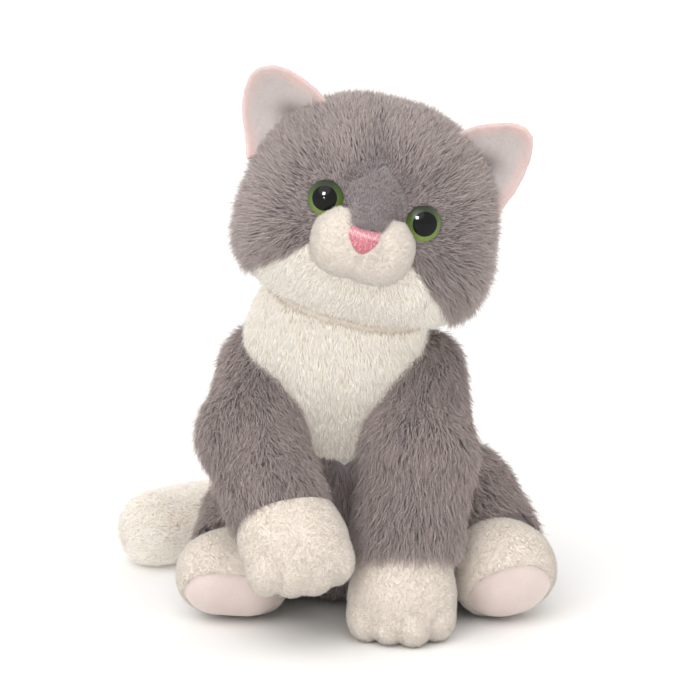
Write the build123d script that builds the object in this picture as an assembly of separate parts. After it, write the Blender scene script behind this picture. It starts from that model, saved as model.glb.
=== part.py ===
from build123d import *
import math
import os

os.makedirs("parts", exist_ok=True)

# ---------------------------------------------------------------- dimensions
# A seated plush kitten.  Origin: on the flat seat, a little in front of its
# middle.  +Z up, the kitten faces -Y, +X is the kitten's own left.  All sizes are of the firm body of
# the pile; the loose hair tips stand a few millimetres further out.

SKIN_T = 2.0            # fabric backing with the packed root of the pile
LOOSE = 0.3             # slack between a skin and the stuffing it holds
RUN = 0.7               # free space round every limb root
TOUCH = 0.12            # free space between sewn-on pieces

# trunk
TRUNK_LOW = (3, 14, 37.5, 43.5)     # belly ball: centre and radius
TRUNK_TOP = (3, 12, 97.5, 34.0)     # shoulder ball
SEAT_SEAM_Z = 9.0       # seam between the seat disc and the sides

# head (local frame: centre of the head, rolled about Y)
HEAD_C = (10.5, -14, 176)
HEAD_S = (53, 47, 48)
HEAD_ROLL = 14.7
NECK_P = (0.0, -3.0, 132.5)
NECK_R = 13.0

# safety eyes
EYE_X = 20.8
EYE_Z = 7.2
EYE_SPLAY = 11.0        # degrees each eye looks outward
EYE_UP = 5.0            # degrees each eye looks up
EYE_D = 15.0
PUPIL_D = 10.3
EYE_H = 4.2
POST_D = 4.6
POST_L = 14.0
WASHER_D = 16.0
WASHER_T = 1.5

# front legs: shoulder, elbow, wrist as (x, y, z, radius)
R_ARM = [(-35, -2, 105, 17.5), (-40, -30, 81, 19.8), (-29, -62, 60, 19.3)]
L_ARM = [(33, -5, 103, 17.5), (31.5, -37, 74, 22.0), (26.5, -54, 42, 21.5)]
R_WRIST = ((-29, -67, 56.5), (0.22, -0.50, -0.84))
L_WRIST = ((26.5, -55.5, 35.5), (-0.02, -0.30, -0.95))
R_PAW_C, R_PAW_S = (-21, -76.5, 45.5), (24.0, 19.5, 19.5)
L_PAW_C, L_PAW_S = (24.5, -60.5, 19.8), (22.4, 19.5, 19.5)

# hind legs: hip and ankle as (x, y, z, radius)
R_LEG = [(-37, 14, 28.5, 26.0), (-46, -16, 22.5, 19.5)]
L_LEG = [(47, 12, 36.5, 29.5), (66, -15, 24.5, 20.5)]
R_FOOT_C, R_FOOT_S, R_FOOT_ROLL = (-48.5, -36, 19.8), (25.0, 19.0, 19.0), 4
L_FOOT_C, L_FOOT_S, L_FOOT_ROLL = (69.0, -35, 21.7), (22.5, 21.0, 21.0), -18
R_SOLE_N = (-0.05, -0.80, -0.60)
L_SOLE_N = (0.20, -0.80, -0.56)
SOLE_AT = 0.60          # how far out along its own direction the sole begins

# tail: three points of the centre line, radius, seam position
TAIL_Z = 17.2
TAIL_R = 16.8
TAIL_ROOT = (9, 58.5)
TAIL_MID = (-41, 68)
TAIL_END = (-88, 48)
TAIL_SEAM = 0.56        # share of the arc that is grey

HEAD_TURN = 30          # degrees, to either side
HEAD_LEAN = 5           # degrees, further towards the kitten's left
SHOULDER_SWING = 45     # degrees, forward and up
HIP_SPLAY = 22          # degrees, outward

# ------------------------------------------------------------------- helpers


def half(o, n):
    """Everything beyond the plane through o, on the side n points to."""
    return Plane(origin=o, z_dir=n) * Pos(0, 0, 200) * Box(400, 400, 400)


def capsule(p0, r0, p1, r1):
    """Two balls joined by the cone that touches both."""
    a, b = Vector(*p0), Vector(*p1)
    d = b - a
    length = d.length
    t = math.asin((r0 - r1) / length)

    def on(r, z, ang):
        return (r * math.cos(ang), z + r * math.sin(ang))

    q = math.pi / 2
    lo, hi = (0, -r0), (0, length + r1)
    t0, t1 = on(r0, 0, t), on(r1, length, t)
    outline = (
        ThreePointArc(lo, on(r0, 0, (t - q) / 2), t0)
        + Line(t0, t1)
        + ThreePointArc(t1, on(r1, length, (t + q) / 2), hi)
        + Line(hi, lo)
    )
    body = revolve(Plane.XZ * make_face(outline), Axis.Z)
    return Plane(origin=a, z_dir=d) * body


def ell(c, s, rot=(0, 0, 0)):
    """Egg shape: a pill along its longest size, the other two averaged."""
    k = max(range(3), key=lambda i: s[i])
    r = (sum(s) - s[k]) / 2
    e = [0.0, 0.0, 0.0]
    e[k] = max(s[k] - r, 0.2)
    pill = capsule([-v for v in e], r, e, r)
    return Pos(*c) * Rot(*rot) * pill


def limb(points, grow):
    """Bent limb: upper and lower tapered tubes round three points."""
    (x0, y0, z0, r0), (x1, y1, z1, r1), (x2, y2, z2, r2) = points
    up = capsule((x0, y0, z0), r0 + grow, (x1, y1, z1), r1 + grow)
    lo = capsule((x1, y1, z1), r1 + grow - 0.15, (x2, y2, z2), r2 + grow)
    return up + lo


def prism_xz(pts, y0, y1):
    """Upright outline in X and Z, swept from y0 to y1."""
    face = make_face(Polyline(*[(x, z) for x, z in pts], close=True))
    solid = extrude(Plane(origin=(0, y0, 0), x_dir=(1, 0, 0), z_dir=(0, -1, 0)) * face, -(y1 - y0))
    return solid


def turned(shape, p, axis, deg):
    return shape.rotate(Axis(p, axis), deg)


def biggest(shape):
    return max(shape.solids(), key=lambda s: s.volume)


def carve(shape, tools):
    """Each solid of a shape with every tool taken away."""
    solids = list(shape.solids())
    for tool in tools:
        left = []
        for s in solids:
            left += [k for k in (s - tool).solids() if k.volume > 0.5]
        solids = left
    return Compound(children=solids)


def put(node, shape, keep_all=False):
    solids = shape.solids()
    if keep_all:
        out = Compound(children=[s for s in solids if s.volume > 0.5])
        if len(out.solids()) == 1:
            out = out.solids()[0]
    else:
        out = biggest(shape)
    export_step(out, "parts/" + node + ".step")


# --------------------------------------------------------------------- limbs

for side, pts, (w_o, w_n), p_c, p_s, p_rot in (
    ("right", R_ARM, R_WRIST, R_PAW_C, R_PAW_S, (0, 22, -18)),
    ("left", L_ARM, L_WRIST, L_PAW_C, L_PAW_S, (0, 0, 0)),
):
    beyond = half(w_o, w_n)
    paw = ell(p_c, p_s, p_rot)
    paw_in = ell(p_c, tuple(v - SKIN_T for v in p_s), p_rot)
    paw_fill = ell(p_c, tuple(v - SKIN_T - LOOSE for v in p_s), p_rot)
    arm = limb(pts, 0)
    sleeve = biggest((arm - limb(pts, -SKIN_T)) - beyond)
    paw_skin = biggest((paw - paw_in) & beyond)
    fill_a = biggest(limb(pts, -SKIN_T - LOOSE) - beyond)
    fill_p = biggest(paw_fill & beyond)
    put(side + "_arm_sleeve", sleeve)
    put(side + "_arm_paw", paw_skin)
    put(side + "_arm_stuffing", fill_a + fill_p)

for side, pts, f_c, f_s, roll, s_n in (
    ("right", R_LEG, R_FOOT_C, R_FOOT_S, R_FOOT_ROLL, R_SOLE_N),
    ("left", L_LEG, L_FOOT_C, L_FOOT_S, L_FOOT_ROLL, L_SOLE_N),
):
    (x0, y0, z0, r0), (x1, y1, z1, r1) = pts
    n = Vector(x1 - x0, y1 - y0, 0).normalized()
    ankle = (x1 + n.X * 4, y1 + n.Y * 4, z1)
    beyond = half(ankle, (n.X, n.Y, 0))
    thigh = capsule((x0, y0, z0), r0, (x1, y1, z1), r1)
    thigh_in = capsule((x0, y0, z0), r0 - SKIN_T, (x1, y1, z1), r1 - SKIN_T)
    thigh_fill = capsule((x0, y0, z0), r0 - SKIN_T - LOOSE, (x1, y1, z1), r1 - SKIN_T - LOOSE)
    rot = (0, roll, 0)
    foot = ell(f_c, f_s, rot)
    foot_in = ell(f_c, tuple(v - SKIN_T for v in f_s), rot)
    foot_fill = ell(f_c, tuple(v - SKIN_T - LOOSE for v in f_s), rot)
    sn = Vector(*s_n).normalized()
    reach = min(f_s) * SOLE_AT
    s_o = (f_c[0] + sn.X * reach, f_c[1] + sn.Y * reach, f_c[2] + sn.Z * reach)
    sole_side = half(s_o, (sn.X, sn.Y, sn.Z))
    skin = (foot - foot_in) & beyond
    put(side + "_leg_thigh", biggest((thigh - thigh_in) - beyond))
    put(side + "_leg_foot", skin - sole_side)
    put(side + "_leg_sole", skin & sole_side)
    put(side + "_leg_stuffing", biggest(thigh_fill - beyond) + biggest(foot_fill & beyond))

# ---------------------------------------------------------------------- tail

(ax, ay), (bx, by), (cx, cy) = TAIL_ROOT, TAIL_MID, TAIL_END
den = 2 * (ax * (by - cy) + bx * (cy - ay) + cx * (ay - by))
ox = ((ax**2 + ay**2) * (by - cy) + (bx**2 + by**2) * (cy - ay) + (cx**2 + cy**2) * (ay - by)) / den
oy = ((ax**2 + ay**2) * (cx - bx) + (bx**2 + by**2) * (ax - cx) + (cx**2 + cy**2) * (bx - ax)) / den
BEND_R = math.hypot(ax - ox, ay - oy)
ANG_ROOT = math.degrees(math.atan2(ay - oy, ax - ox))
ANG_END = math.degrees(math.atan2(cy - oy, cx - ox))


def tail_tube(r, a0, a1, ball0, ball1):
    """Part of the bent tube between two plan angles, with round ends."""
    ring = Plane.XZ * Pos(BEND_R, 0) * Circle(r)
    tube = revolve(ring, Axis.Z, a1 - a0)
    tube = Pos(ox, oy, TAIL_Z) * Rot(0, 0, a0) * tube
    for on_end, ang, s in ((ball0, a0, -1), (ball1, a1, 1)):
        if on_end:
            ca, sa = math.cos(math.radians(ang)), math.sin(math.radians(ang))
            c = (ox + BEND_R * ca, oy + BEND_R * sa, TAIL_Z)
            ball = Pos(*c) * Sphere(r)
            tube = tube + (ball & half(c, (-sa * s, ca * s, 0)))
    return tube


seam = ANG_ROOT + (ANG_END - ANG_ROOT) * TAIL_SEAM
whole = (TAIL_R, ANG_ROOT, ANG_END)
put("tail_base", tail_tube(TAIL_R, ANG_ROOT, seam, True, False)
    - tail_tube(TAIL_R - SKIN_T, ANG_ROOT, seam + 1, True, False))
put("tail_tip", tail_tube(TAIL_R, seam, ANG_END, False, True)
    - tail_tube(TAIL_R - SKIN_T, seam - 1, ANG_END, False, True))
put("tail_stuffing", tail_tube(TAIL_R - SKIN_T - LOOSE, ANG_ROOT, ANG_END, True, True))

# --------------------------------------------------------------------- trunk



def trunk(shrink):
    body = capsule(TRUNK_LOW[:3], TRUNK_LOW[3] - shrink, TRUNK_TOP[:3], TRUNK_TOP[3] - shrink)
    return body & half((0, 0, shrink), (0, 0, 1))


outer, inner, fill = trunk(0), trunk(SKIN_T), trunk(SKIN_T + LOOSE)


def limb_room(gap, splays):
    """Everything the neck, tail, arms and legs sweep, with a gap round it."""
    out = [Pos(*NECK_P) * Sphere(NECK_R + gap - 0.2),
           tail_tube(TAIL_R + gap, ANG_ROOT, seam, True, False)]
    for pts in (R_ARM, L_ARM):
        for deg in range(0, SHOULDER_SWING + 1, 15):
            out.append(turned(limb(pts, gap), pts[0][:3], (-1, 0, 0), deg))
    for pts, way in ((R_LEG, -1), (L_LEG, 1)):
        (x0, y0, z0, r0), (x1, y1, z1, r1) = pts
        shank = capsule((x0, y0, z0), r0 + gap, (x1, y1, z1), r1 + gap)
        for deg in splays:
            out.append(turned(shank, (x0, y0, z0), (0, 0, way), deg))
    return out


fill = carve(fill, limb_room(RUN + 0.4, (0,)))
room = limb_room(RUN, (0, HIP_SPLAY / 2, HIP_SPLAY))
at_head = Pos(*HEAD_C) * Rot(0, HEAD_ROLL, 0)
ball = at_head * ell((0, 0, 0), tuple(v + RUN for v in HEAD_S))
for lean in (0, HEAD_LEAN):
    for deg in (0, 10, 20, HEAD_TURN):
        room.append(turned(turned(ball, NECK_P, (0, 1, 0), lean), NECK_P, (0, 0, 1), deg))

shell = outer - inner

chest_zone = prism_xz([(-34, 150), (-34, 97), (-28, 88), (2, 66), (33, 88), (38, 97), (38, 150)], -60, 4)
seat_zone = Pos(0, 0, SEAT_SEAM_Z - 200) * Box(400, 400, 400)
left_zone = Pos(200.4 + TRUNK_LOW[0], 0, 0) * Box(400, 400, 400)
rest = (shell - chest_zone) - seat_zone
for node, cloth in (("chest_panel", shell & chest_zone), ("seat_panel", shell & seat_zone),
                    ("trunk_left_panel", rest & left_zone), ("trunk_right_panel", rest - left_zone)):
    put(node, carve(cloth, room), keep_all=True)
put("trunk_stuffing", fill)
put("neck_stuffing", Pos(*NECK_P) * Sphere(NECK_R))

# ---------------------------------------------------------------------- head

neck_ball = at_head.inverse() * (Pos(*NECK_P) * Sphere(NECK_R + 0.5))
h_out = ell((0, 0, 0), HEAD_S)
h_in = ell((0, 0, 0), tuple(v - SKIN_T for v in HEAD_S))
h_fill = ell((0, 0, 0), tuple(v - SKIN_T - LOOSE for v in HEAD_S))
h_clear = ell((0, 0, 0), tuple(v + TOUCH for v in HEAD_S))

# muzzle: two cheek lobes and the pad between them
MUZZLE_X = -1.2          # the muzzle is sewn a touch to the kitten's right
LOBE_X, LOBE_Y, LOBE_Z, LOBE_S = 8.6, -42.5, -8.6, (13.4, 17.5, 13.4)
PAD_C, PAD_S = (MUZZLE_X, -45, -6.5), (11.0, 18.0, 11.0)


def muzzle(grow):
    g = tuple(v + grow for v in LOBE_S)
    a = ell((MUZZLE_X + LOBE_X, LOBE_Y, LOBE_Z), g)
    b = ell((MUZZLE_X - LOBE_X, LOBE_Y, LOBE_Z), g)
    return (a + b) + ell(PAD_C, tuple(v + grow for v in PAD_S))


HEAD_R = (HEAD_S[1] + HEAD_S[2]) / 2
eye_dx = EYE_X - (HEAD_S[0] - HEAD_R)
eye_y = -math.sqrt(HEAD_R**2 - eye_dx**2 - EYE_Z**2)
eye_frames = {}
for side, s in (("left", 1), ("right", -1)):
    sp, el = math.radians(EYE_SPLAY), math.radians(EYE_UP)
    n = Vector(s * math.sin(sp) * math.cos(el), -math.cos(sp) * math.cos(el), math.sin(el))
    eye_frames[side] = Plane(origin=(s * EYE_X, eye_y - 0.2, EYE_Z), z_dir=n)

h_skin = (h_out - h_in) - neck_ball
eye_room = [neck_ball]
muz = muzzle(0) - h_clear
muz_fill = muzzle(-SKIN_T - LOOSE) - h_clear
muz_in = muzzle(-SKIN_T)
for side, fr in eye_frames.items():
    curve = ((EYE_D / 2) ** 2 + EYE_H**2) / (2 * EYE_H)
    dome = (fr * Pos(0, 0, EYE_H - curve) * Sphere(curve)) & (fr * Pos(0, 0, 10.0) * Box(40, 40, 20))
    socket = fr * Pos(0, 0, 5 + 1.0) * Cylinder(PUPIL_D / 2 + 0.05, 10)
    post = fr * Pos(0, 0, -POST_L / 2 + 0.2) * Cylinder(POST_D / 2, POST_L)
    pupil = dome & (fr * Pos(0, 0, 5 + 1.1) * Cylinder(PUPIL_D / 2, 10))
    put(side + "_eye_iris", at_head * ((dome - socket) + post))
    put(side + "_eye_pupil", at_head * pupil)
    ring = fr * Pos(0, 0, -4.4 - WASHER_T / 2) * (Cylinder(WASHER_D / 2, WASHER_T) - Cylinder(POST_D / 2 + 0.05, WASHER_T))
    put(side + "_eye_washer", at_head * ring)
    h_skin = h_skin - (fr * Pos(0, 0, -5) * Cylinder(POST_D / 2 + 0.3, 20))
    h_skin = h_skin - (fr * Pos(0, 0, 9.9) * Cylinder(EYE_D / 2 + 0.15, 20))
    eye_room.append(fr * Pos(0, 0, -1.5) * Cylinder(WASHER_D / 2 + 0.4, 10.0))
    eye_room.append(fr * Pos(0, 0, -8.1) * Cylinder(POST_D / 2 + 0.4, 16))
    muz = muz - (fr * Pos(0, 0, 5) * Cylinder(EYE_D / 2 + 0.3, 30))
    muz_fill = muz_fill - (fr * Pos(0, 0, 5) * Cylinder(EYE_D / 2 + 2.6, 30))
    muz_in = muz_in - (fr * Pos(0, 0, 5) * Cylinder(EYE_D / 2 + 2.3, 30))

cheek_zone = prism_xz([(-12, -6), (12, -6), (22, -9), (36, -31), (60, -47), (60, -70), (-60, -70), (-60, -40), (-43, -33), (-26, -15)], -70, 6)
bridge_zone = prism_xz([(-12, -6), (12, -6), (11, 8), (6, 19), (-0.5, 25), (-6, 19), (-11, 8)], -70, 0)
right_zone = Pos(-200, 0, 0) * Box(400, 400, 400)
cheeks = h_skin & cheek_zone
bridge = h_skin & bridge_zone
sides = (h_skin - cheek_zone) - bridge_zone
put("chin_cheek_panel", at_head * cheeks)
put("nose_bridge_panel", at_head * bridge)
put("head_right_panel", at_head * (sides & right_zone))
put("head_left_panel", at_head * (sides - right_zone))
put("head_stuffing", at_head * carve(h_fill, eye_room))
put("muzzle_panel", at_head * (muz - muz_in))
put("muzzle_stuffing", at_head * muz_fill)

# embroidered nose, following the pad
nose_pts = [(-6.5, -0.4), (-5.6, 0.7), (5.6, 0.7), (6.5, -0.4), (6.0, -3.0), (2.0, -8.4), (-2.0, -8.4), (-6.0, -3.0)]
nose_zone = prism_xz([(MUZZLE_X + x - 0.8, z) for x, z in nose_pts], -75, -50)
nose = ((ell(PAD_C, tuple(v + 1.4 for v in PAD_S)) & nose_zone) - muzzle(TOUCH))
put("nose_patch", at_head * nose)

# ears: cupped double-layer triangles
for side, s in (("left", 1), ("right", -1)):
    tri = [(26, 43), (45, 50.5), (52.5, 52), (56.5, 49.5), (58, 43), (57.5, 27), (54, 11), (38, 20)]
    tri_in = [(29, 42), (44.5, 47.6), (51, 49), (53.8, 47.4), (55.2, 42), (54.6, 28), (51.5, 15), (38, 22)]
    cup = (s * 49.5, -22, 36)
    depth = 26.0

    def layer(r1, r0, outline):
        z = prism_xz([(s * x, v) for x, v in outline], -16, 8)
        return biggest((((Pos(*cup) * Sphere(r1)) - (Pos(*cup) * Sphere(r0))) & z) - h_clear)

    put(side + "_ear_back", at_head * layer(depth, depth - 2.2, tri))
    put(side + "_ear_lining", at_head * layer(depth - 2.2 - TOUCH, depth - 3.9, tri_in))
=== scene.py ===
import math
import bpy
import numpy as np
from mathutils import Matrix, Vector


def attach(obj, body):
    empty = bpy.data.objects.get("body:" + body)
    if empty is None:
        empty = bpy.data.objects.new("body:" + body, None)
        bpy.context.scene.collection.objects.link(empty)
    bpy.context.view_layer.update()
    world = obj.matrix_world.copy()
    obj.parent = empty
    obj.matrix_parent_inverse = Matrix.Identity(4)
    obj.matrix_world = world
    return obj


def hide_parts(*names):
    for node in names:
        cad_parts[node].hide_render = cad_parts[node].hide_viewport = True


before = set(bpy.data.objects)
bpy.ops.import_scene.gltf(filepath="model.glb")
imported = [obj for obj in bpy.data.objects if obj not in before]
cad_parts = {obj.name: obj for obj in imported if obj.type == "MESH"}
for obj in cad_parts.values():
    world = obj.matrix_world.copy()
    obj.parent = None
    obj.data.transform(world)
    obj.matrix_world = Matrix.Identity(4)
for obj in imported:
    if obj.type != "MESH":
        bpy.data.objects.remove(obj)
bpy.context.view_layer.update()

MM = 0.001
A = np.array


# ------------------------------------------------------------ implicit shapes
def ln(a):
    return np.sqrt((a * a).sum(-1))


def unit(a):
    return a / np.maximum(ln(a), 1e-9)[..., None]


def vec(*c):
    v = np.array(c, float)
    return v / np.linalg.norm(v)


def sph(p, c, r):
    return ln(p - A(c, float)) - r


def rcone(p, a, ra, b, rb):
    a, b = A(a, float), A(b, float)
    ba = b - a
    l2 = ba @ ba
    rr = ra - rb
    a2 = l2 - rr * rr
    pa = p - a
    y = pa @ ba
    z = y - l2
    x2 = ((pa * l2 - ba * y[..., None]) ** 2).sum(-1)
    y2, z2 = y * y * l2, z * z * l2
    k = np.sign(rr) * rr * rr * x2
    return np.where(
        np.sign(z) * a2 * z2 > k,
        np.sqrt(x2 + z2) / l2 - rb,
        np.where(np.sign(y) * a2 * y2 < k, np.sqrt(x2 + y2) / l2 - ra, (np.sqrt(x2 * a2 / l2) + y * rr) / l2 - ra),
    )


def eld(p, c, r, axes=None):
    q = p - A(c, float)
    if axes is not None:
        q = q @ axes
    r = A(r, float)
    k0 = ln(q / r)
    k1 = ln(q / (r * r))
    return k0 * (k0 - 1) / np.maximum(k1, 1e-6)


def smin(a, b, k):
    h = np.clip(0.5 + 0.5 * (b - a) / k, 0, 1)
    return b * (1 - h) + a * h - k * h * (1 - h)


def smax(a, b, k):
    return -smin(-a, -b, k)


def plane(p, o, n):
    return (p - A(o, float)) @ A(n, float)


def step(x, a, b):
    t = np.clip((x - a) / (b - a), 0, 1)
    return t * t * (3 - 2 * t)


_wr = np.random.default_rng(77)
_WD = _wr.normal(size=(24, 3))
_WD /= np.linalg.norm(_WD, axis=1)[:, None]
_WP = _wr.uniform(0, 6.28, 24)
_WF = _wr.uniform(0.6, 1.7, 24)


def wob(p, size, seed=0):
    """Smooth wander between about -1 and 1, features roughly `size` across."""
    out = 0
    for i in range(5):
        j = (seed * 5 + i) % 24
        out = out + np.sin((p @ _WD[j]) * (6.28 / size) * _WF[j] + _WP[j] + seed)
    return out / 3.2


def poly2(q, pts):
    """Signed distance to a closed outline in the plane."""
    pts = A(pts, float)
    d = ((q - pts[0]) ** 2).sum(-1)
    s = np.ones(q.shape[:-1])
    n = len(pts)
    for i in range(n):
        j = (i - 1) % n
        e = pts[j] - pts[i]
        w = q - pts[i]
        b = w - e * np.clip((w @ e) / (e @ e), 0, 1)[..., None]
        d = np.minimum(d, (b * b).sum(-1))
        c1 = q[..., 1] >= pts[i][1]
        c2 = q[..., 1] < pts[j][1]
        c3 = e[0] * w[..., 1] > e[1] * w[..., 0]
        flip = (c1 & c2 & c3) | (~c1 & ~c2 & ~c3)
        s = np.where(flip, -s, s)
    return s * np.sqrt(d)


def nets(f, lo, hi, h):
    """Smooth closed mesh of the surface f = 0: vertices and quads."""
    lo, hi = A(lo, float) - 2 * h, A(hi, float) + 2 * h
    n = np.ceil((hi - lo) / h).astype(int) + 1
    g = np.stack(np.meshgrid(*[lo[i] + h * np.arange(n[i]) for i in range(3)], indexing="ij"), -1)
    val = f(g.reshape(-1, 3)).reshape(n)
    ins = val < 0
    corner = [(a, b, c) for a in (0, 1) for b in (0, 1) for c in (0, 1)]

    def at(arr, o):
        return arr[o[0]:n[0] - 1 + o[0], o[1]:n[1] - 1 + o[1], o[2]:n[2] - 1 + o[2]]

    cnt_in = sum(at(ins, o).astype(int) for o in corner)
    mixed = (cnt_in > 0) & (cnt_in < 8)
    cells = np.argwhere(mixed)
    idx = -np.ones(mixed.shape, int)
    idx[mixed] = np.arange(len(cells))
    acc, cnt = np.zeros((len(cells), 3)), np.zeros(len(cells))
    for o in corner:
        for ax in range(3):
            if o[ax] == 0:
                o2 = list(o)
                o2[ax] = 1
                va = val[tuple((cells + A(o)).T)]
                vb = val[tuple((cells + A(o2)).T)]
                m = (va < 0) != (vb < 0)
                t = np.where(m, va / np.where(m, va - vb, 1), 0)
                p = A(o, float) + t[:, None] * (A(o2) - A(o))
                acc += p * m[:, None]
                cnt += m
    v = lo + h * (cells + acc / cnt[:, None])
    quads = []
    for ax in range(3):
        d1, d2 = (ax + 1) % 3, (ax + 2) % 3
        sl0, sl1 = [slice(None)] * 3, [slice(None)] * 3
        sl0[ax], sl1[ax] = slice(0, -1), slice(1, None)
        a, b = ins[tuple(sl0)], ins[tuple(sl1)]
        e = np.argwhere(a != b)
        ok = (e[:, d1] > 0) & (e[:, d2] > 0) & (e[:, d1] < n[d1] - 1) & (e[:, d2] < n[d2] - 1)
        e = e[ok]
        out = a[tuple(e.T)]
        u1, u2 = np.zeros(3, int), np.zeros(3, int)
        u1[d1], u2[d2] = 1, 1
        ring = [idx[tuple((e - o).T)] for o in (u1 + u2, u2, 0 * u1, u1)]
        q = np.stack(ring, 1)
        q[~out] = q[~out][:, ::-1]
        quads.append(q)
    quads = np.concatenate(quads)
    for _ in range(2):
        s, c = np.zeros_like(v), np.zeros(len(v))
        for i in range(4):
            j = (i + 1) % 4
            np.add.at(s, quads[:, i], v[quads[:, j]])
            np.add.at(c, quads[:, i], 1)
        v = 0.5 * v + 0.5 * s / c[:, None]
        v = settle(f, v, 2)
    return v, quads


def grad(f, p, e=0.15):
    g = np.stack([f(p + A(o)) - f(p - A(o)) for o in ((e, 0, 0), (0, e, 0), (0, 0, e))], -1)
    return g / (2 * e)


def settle(f, v, times):
    for _ in range(times):
        g = grad(f, v)
        g2 = np.maximum((g * g).sum(-1), 0.2)
        v = v - np.clip(f(v) / g2, -1.2, 1.2)[:, None] * g
    return v


# ------------------------------------------------------------------- meshing
def mesh_object(name, v, faces, mat, uv=None, smooth=True):
    """faces: list of index arrays, one per face size. uv: one (u, v) per vertex."""
    me = bpy.data.meshes.new(name)
    v = np.ascontiguousarray(v, np.float32)
    me.vertices.add(len(v))
    me.vertices.foreach_set("co", (v * MM).astype(np.float32).ravel())
    loops = np.concatenate([f.ravel() for f in faces]).astype(np.int32)
    sizes = np.concatenate([np.full(len(f), f.shape[1], np.int32) for f in faces])
    starts = np.concatenate([[0], np.cumsum(sizes)[:-1]]).astype(np.int32)
    me.loops.add(len(loops))
    me.loops.foreach_set("vertex_index", loops)
    me.polygons.add(len(sizes))
    me.polygons.foreach_set("loop_start", starts)
    if uv is not None:
        lay = me.uv_layers.new(name="OFBake")
        lay.data.foreach_set("uv", np.ascontiguousarray(uv[loops], np.float32).ravel())
    me.update(calc_edges=True)
    if smooth:
        me.shade_smooth()
    me.materials.append(mat)
    ob = bpy.data.objects.new(name, me)
    bpy.context.scene.collection.objects.link(ob)
    return ob


def strands(root, nrm, comb, length, width, a0, a1, tone, rng, short=False, clump=0.0, cell=3.0, curl=0.0):
    """Tapered hairs. a0 and a1: angle off the skin at root and tip, radians."""
    n = len(root)
    side = unit(np.cross(nrm, comb))
    p0 = root - nrm * 0.35
    L = length[:, None]
    sw = (rng.normal(size=(n, 1)) * curl)
    if short:
        d = nrm * np.sin(a0)[:, None] + comb * np.cos(a0)[:, None] + side * sw
        tip = p0 + d * L
        mid = None
    else:
        d0 = nrm * np.sin(a0)[:, None] + comb * np.cos(a0)[:, None] + side * sw * 0.5
        d1 = nrm * np.sin(a1)[:, None] + comb * np.cos(a1)[:, None] + side * sw * 1.3
        mid = p0 + d0 * L * 0.5
        tip = mid + d1 * L * 0.55
    if clump > 0:
        w = root + np.stack([wob(root, cell * 3.1, s) for s in (3, 7, 11)], -1) * cell * 0.55
        key = np.floor(w / cell).astype(np.int64)
        _, inv = np.unique(key[:, 0] * 1000003 + key[:, 1] * 1009 + key[:, 2], return_inverse=True)
        inv = inv.ravel()
        m = np.bincount(inv).astype(float)
        ct = np.stack([np.bincount(inv, tip[:, i]) for i in range(3)], -1) / m[:, None]
        str_ = clump * rng.uniform(0.5, 1.1, (n, 1))
        tip = tip + (ct[inv] - tip) * str_
        if mid is not None:
            cm = np.stack([np.bincount(inv, mid[:, i]) for i in range(3)], -1) / m[:, None]
            mid = mid + (cm[inv] - mid) * str_ * 0.35
    ang = rng.uniform(0, 6.28, n)
    r = (width / 2)[:, None]
    d = unit((tip if short else mid) - p0)
    s1 = unit(np.cross(d, nrm + 0.3 * side))
    s2 = np.cross(d, s1)
    c = p0 if short else mid
    ring = [c + (s1 * np.cos(ang + j * 2.0944)[:, None] + s2 * np.sin(ang + j * 2.0944)[:, None]) * r for j in range(3)]
    if short:
        v = np.stack(ring + [tip], 1)
        tris = A([[0, 1, 3], [1, 2, 3], [2, 0, 3], [2, 1, 0]])
        vv = A([0.25, 0.25, 0.25, 0.97])
    else:
        v = np.stack(ring + [tip, p0], 1)
        tris = A([[0, 1, 3], [1, 2, 3], [2, 0, 3], [1, 0, 4], [2, 1, 4], [0, 2, 4]])
        vv = A([0.5, 0.5, 0.5, 0.97, 0.03])
    k = v.shape[1]
    base = (np.arange(n) * k)[:, None]
    faces = [(base[:, :, None] + tris[None]).reshape(-1, 3)]
    uv = np.empty((n, k, 2), np.float32)
    uv[:, :, 0] = np.clip(tone, 0.02, 0.98)[:, None]
    uv[:, :, 1] = vv[None]
    return v.reshape(-1, 3), faces, uv.reshape(-1, 2)


def scatter(v, quads, density, rng, where=None):
    tri = np.concatenate([quads[:, [0, 1, 2]], quads[:, [0, 2, 3]]])
    a, b, c = v[tri[:, 0]], v[tri[:, 1]], v[tri[:, 2]]
    area = 0.5 * ln(np.cross(b - a, c - a))
    cen = (a + b + c) / 3
    rate = area * density
    if where is not None:
        rate = rate * where(cen)
    total = int(rate.sum())
    if total < 1:
        return np.zeros((0, 3))
    pick = rng.choice(len(tri), total, p=rate / rate.sum())
    r1, r2 = np.sqrt(rng.uniform(size=total)), rng.uniform(size=total)
    return a[pick] * (1 - r1)[:, None] + b[pick] * (r1 * (1 - r2))[:, None] + c[pick] * (r1 * r2)[:, None]


# ----------------------------------------------------------------- materials
def new_mat(name):
    m = bpy.data.materials.new(name)
    m.use_nodes = True
    nt = m.node_tree
    return m, nt, nt.nodes["Principled BSDF"]


def ramp(nt, fac, stops):
    r = nt.nodes.new("ShaderNodeValToRGB")
    while len(r.color_ramp.elements) < len(stops):
        r.color_ramp.elements.new(0.5)
    for e, (pos, col) in zip(r.color_ramp.elements, stops):
        e.position = pos
        e.color = (*col, 1)
    nt.links.new(fac, r.inputs["Fac"])
    return r.outputs["Color"]


def srgb(r, g, b):
    return tuple(((c / 255) / 12.92) if c / 255 <= 0.04045 else (((c / 255) + 0.055) / 1.055) ** 2.4 for c in (r, g, b))


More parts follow.
